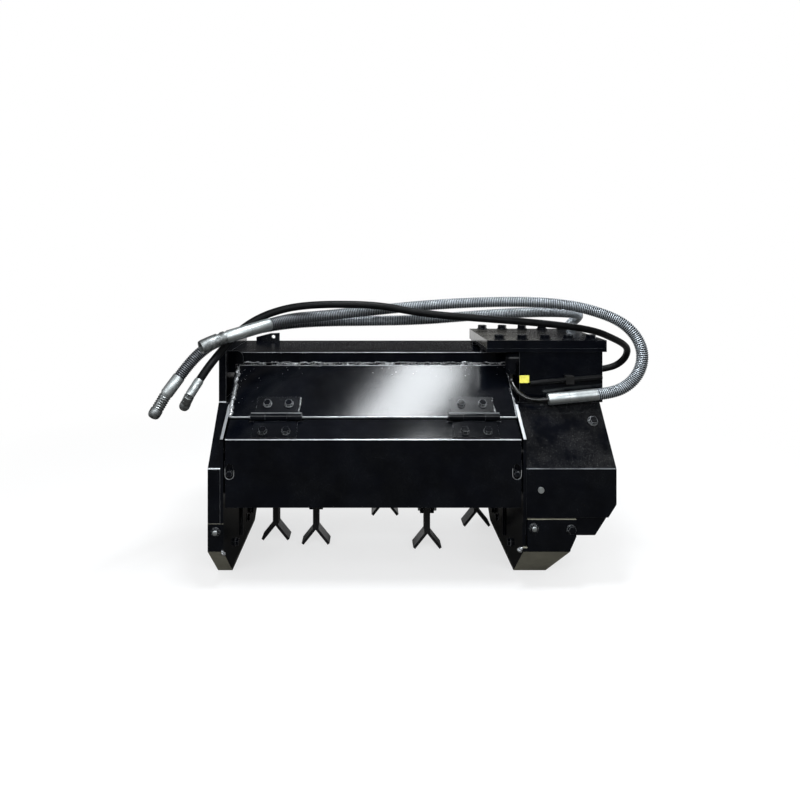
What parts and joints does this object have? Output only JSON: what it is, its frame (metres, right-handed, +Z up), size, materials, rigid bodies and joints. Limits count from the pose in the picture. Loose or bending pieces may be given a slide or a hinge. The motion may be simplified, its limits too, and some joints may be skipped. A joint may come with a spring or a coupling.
{
  "type": "flail mulcher for an excavator",
  "caption": "Black hydraulic flail mulcher head: box housing on skids, hinged front flap, spinning rotor with swinging Y flails, hitch plate on top and long hydraulic hoses.",
  "frame": {"origin": "under the middle of the housing, at the height of the skids' soles", "axes": "+Z up, front flap towards -Y, rotor axis along X, belt drive at +X"},
  "size_m": [1.415, 0.535, 0.7427],
  "materials": {
    "black_paint": "gloss",
    "zinc": "bright zinc plating",
    "spring_guard": "fine steel coils over black hose",
    "rubber": "satin",
    "black_plastic": "matte",
    "yellow_tag": "matte",
    "cast_iron": "cast",
    "worn_steel": "black, forged"
  },
  "bodies": {
    "housing": {"left_side_plate": "black_paint", "right_side_plate": "black_paint", "front_cover": "black_paint", "top_deck": "black_paint", "rear_cover": "black_paint", "left_shield": "black_paint", "belt_cover": "black_paint", "belt_cover_bolts": "zinc", "left_skid": "black_paint", "right_skid": "black_paint", "right_skid_web": "black_paint", "skid_bolts": "zinc", "left_gusset": "black_paint", "rear_lug": "black_paint", "hitch_plate": "black_paint", "hitch_flange": "black_paint", "hitch_bolts": "black_paint", "hitch_rails": "black_paint", "motor_box": "black_paint", "hydraulic_motor": "cast_iron", "port_elbow": "black_paint", "hose_a_pipe": "zinc", "hose_a_start": "zinc", "hose_a_tube": "spring_guard", "hose_a_fitting": "zinc", "hose_b_start": "zinc", "hose_b_tube": "spring_guard", "hose_b_fitting": "zinc", "hose_c_start": "zinc", "hose_c_tube": "rubber", "hose_c_fitting": "zinc", "drain_pipe": "rubber", "pipe_clip": "black_plastic", "blank_tag": "yellow_tag", "flap_studs": "black_paint", "hinge_fixed_leaves": "black_paint", "hinge_fixed_bolts": "black_paint", "rotor_bearings": "cast_iron", "bearing_guards": "black_paint"},
    "flap": {"front_flap": "black_paint", "hinge_flap_leaves": "black_paint", "hinge_flap_bolts": "black_paint"},
    "rotor": {"rotor_tube": "black_paint", "rotor_lugs": "black_paint", "flail_bolts": "zinc", "rotor_pulley": "cast_iron"},
    "flail_01": {"flail_01": "worn_steel"},
    "flail_02": {"flail_02": "worn_steel"},
    "flail_03": {"flail_03": "worn_steel"},
    "flail_04": {"flail_04": "worn_steel"},
    "flail_05": {"flail_05": "worn_steel"},
    "flail_06": {"flail_06": "worn_steel"},
    "flail_07": {"flail_07": "worn_steel"},
    "flail_08": {"flail_08": "worn_steel"},
    "flail_09": {"flail_09": "worn_steel"},
    "flail_10": {"flail_10": "worn_steel"},
    "flail_11": {"flail_11": "worn_steel"},
    "flail_12": {"flail_12": "worn_steel"}
  },
  "joints": [
    {"name": "rotor_spin", "type": "hinge", "parent": "housing", "child": "rotor", "pos_m": [0, -0.01, 0.222], "axis": [1, 0, 0], "continuous": true},
    {"name": "flap_hinge", "type": "hinge", "parent": "housing", "child": "flap", "pos_m": [-0.113, -0.19, 0.436], "axis": [-1, 0, 0], "range_deg": [0, 110]},
    {"name": "flail_01_swing", "type": "hinge", "parent": "rotor", "child": "flail_01", "pos_m": [-0.43475, -0.04746, 0.31472], "axis": [1, 0, 0], "range_deg": [-230, 0]},
    {"name": "flail_02_swing", "type": "hinge", "parent": "rotor", "child": "flail_02", "pos_m": [-0.39875, 0.02746, 0.12928], "axis": [1, 0, 0], "range_deg": [-93, 137]},
    {"name": "flail_03_swing", "type": "hinge", "parent": "rotor", "child": "flail_03", "pos_m": [-0.31325, -0.03079, 0.31981], "axis": [1, 0, 0], "range_deg": [-230, 0]},
    {"name": "flail_04_swing", "type": "hinge", "parent": "rotor", "child": "flail_04", "pos_m": [-0.27725, 0.01079, 0.12419], "axis": [1, 0, 0], "range_deg": [-103, 127]},
    {"name": "flail_05_swing", "type": "hinge", "parent": "rotor", "child": "flail_05", "pos_m": [-0.19175, 0.08781, 0.20121], "axis": [1, 0, 0], "range_deg": [-37, 193]},
    {"name": "flail_06_swing", "type": "hinge", "parent": "rotor", "child": "flail_06", "pos_m": [-0.15575, -0.0909, 0.28078], "axis": [1, 0, 0], "range_deg": [-230, 0]},
    {"name": "flail_07_swing", "type": "hinge", "parent": "rotor", "child": "flail_07", "pos_m": [-0.07025, 0.08063, 0.17974], "axis": [1, 0, 0], "range_deg": [-50, 180]},
    {"name": "flail_08_swing", "type": "hinge", "parent": "rotor", "child": "flail_08", "pos_m": [-0.03425, -0.0888, 0.28357], "axis": [1, 0, 0], "range_deg": [-230, 0]},
    {"name": "flail_09_swing", "type": "hinge", "parent": "rotor", "child": "flail_09", "pos_m": [0.05125, -0.01, 0.122], "axis": [1, 0, 0], "range_deg": [-115, 115]},
    {"name": "flail_10_swing", "type": "hinge", "parent": "rotor", "child": "flail_10", "pos_m": [0.08725, -0.01, 0.322], "axis": [1, 0, 0], "range_deg": [-230, 0]},
    {"name": "flail_11_swing", "type": "hinge", "parent": "rotor", "child": "flail_11", "pos_m": [0.17275, -0.08314, 0.2902], "axis": [1, 0, 0], "range_deg": [-230, 0]},
    {"name": "flail_12_swing", "type": "hinge", "parent": "rotor", "child": "flail_12", "pos_m": [0.20875, 0.06314, 0.1538], "axis": [1, 0, 0], "range_deg": [-68, 162]}
  ]
}
